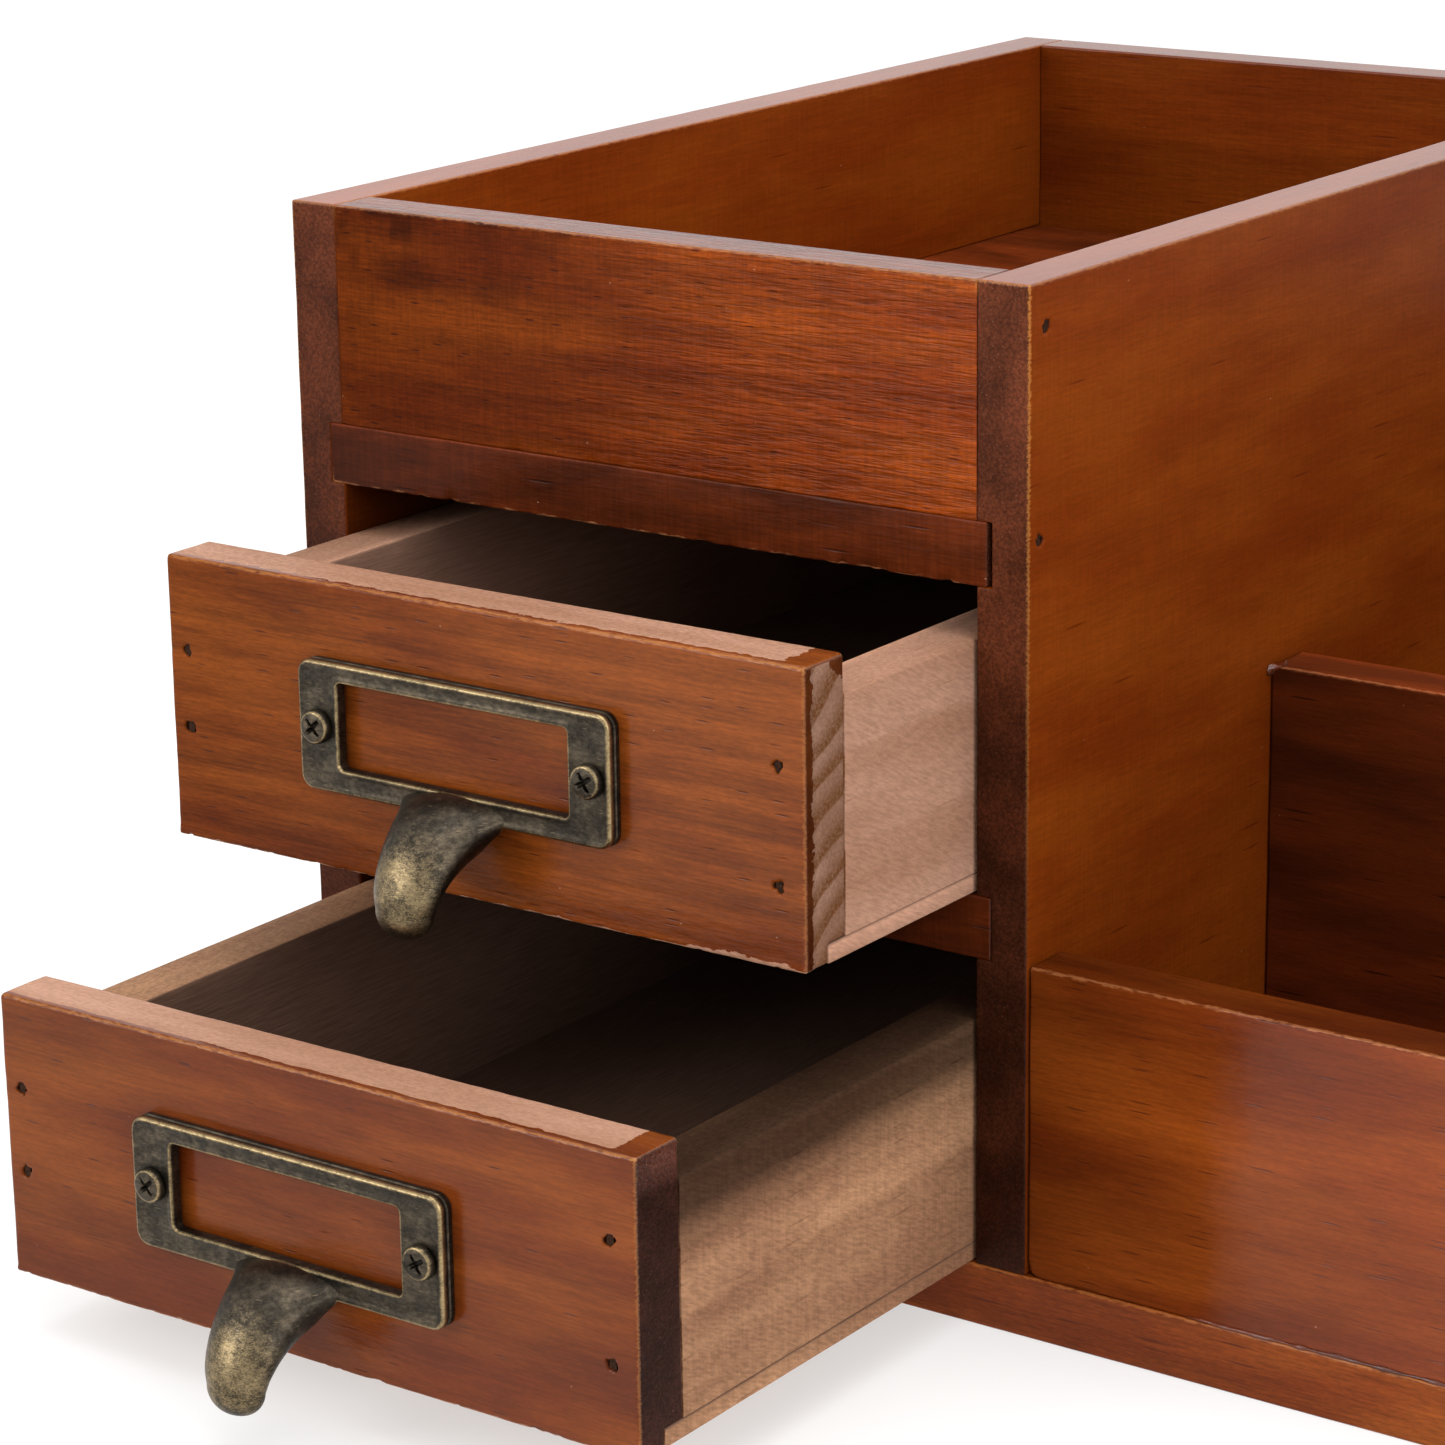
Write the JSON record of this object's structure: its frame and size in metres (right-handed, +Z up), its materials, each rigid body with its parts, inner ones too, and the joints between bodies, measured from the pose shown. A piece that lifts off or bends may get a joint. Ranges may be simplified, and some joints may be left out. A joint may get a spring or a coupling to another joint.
{
  "type": "wooden desk organiser",
  "caption": "Varnished wooden desk organiser: open-top tower over sliding drawers with brass label pulls, beside a stepped open bay.",
  "frame": {"origin": "centre of the base board's underside", "axes": "+Z up, +X to the viewer's right along the front, the drawers open towards -Y"},
  "size_m": [0.356, 0.3539, 0.178],
  "materials": {
    "varnished_wood": "glossy reddish-brown varnish",
    "drawer_front_wood": "glossy reddish-brown varnish",
    "raw_drawer_wood": "sanded, lightly stained",
    "antique_brass": "antique patina with worn bright edges",
    "brad_steel": "dark, sunk heads"
  },
  "bodies": {
    "case": {"base_board": "varnished_wood", "left_side_board": "varnished_wood", "right_side_board": "varnished_wood", "top_front_board": "varnished_wood", "tower_back_board": "varnished_wood", "compartment_shelf": "varnished_wood", "drawer_shelf": "varnished_wood", "low_front_panel": "varnished_wood", "mid_divider": "varnished_wood", "rear_panel": "varnished_wood", "right_end_board": "varnished_wood", "tower_side_brads": "brad_steel", "end_board_brads": "brad_steel", "base_brads": "brad_steel"},
    "upper_drawer": {"upper_drawer_front": "drawer_front_wood", "upper_drawer_left_side": "raw_drawer_wood", "upper_drawer_right_side": "raw_drawer_wood", "upper_drawer_back": "raw_drawer_wood", "upper_drawer_bottom": "raw_drawer_wood", "upper_drawer_label_pull": "antique_brass", "upper_drawer_label_screws": "antique_brass", "upper_drawer_front_brads": "brad_steel", "upper_drawer_back_brads": "brad_steel", "upper_drawer_bottom_brads": "brad_steel"},
    "lower_drawer": {"lower_drawer_front": "drawer_front_wood", "lower_drawer_left_side": "raw_drawer_wood", "lower_drawer_right_side": "raw_drawer_wood", "lower_drawer_back": "raw_drawer_wood", "lower_drawer_bottom": "raw_drawer_wood", "lower_drawer_label_pull": "antique_brass", "lower_drawer_label_screws": "antique_brass", "lower_drawer_front_brads": "brad_steel", "lower_drawer_back_brads": "brad_steel", "lower_drawer_bottom_brads": "brad_steel"}
  },
  "joints": [
    {"name": "upper_drawer_slide", "type": "slide", "parent": "case", "child": "upper_drawer", "axis": [0, -1, 0], "range_m": [-0.0476, 0.158]},
    {"name": "lower_drawer_slide", "type": "slide", "parent": "case", "child": "lower_drawer", "axis": [0, -1, 0], "range_m": [-0.0926, 0.113]}
  ]
}
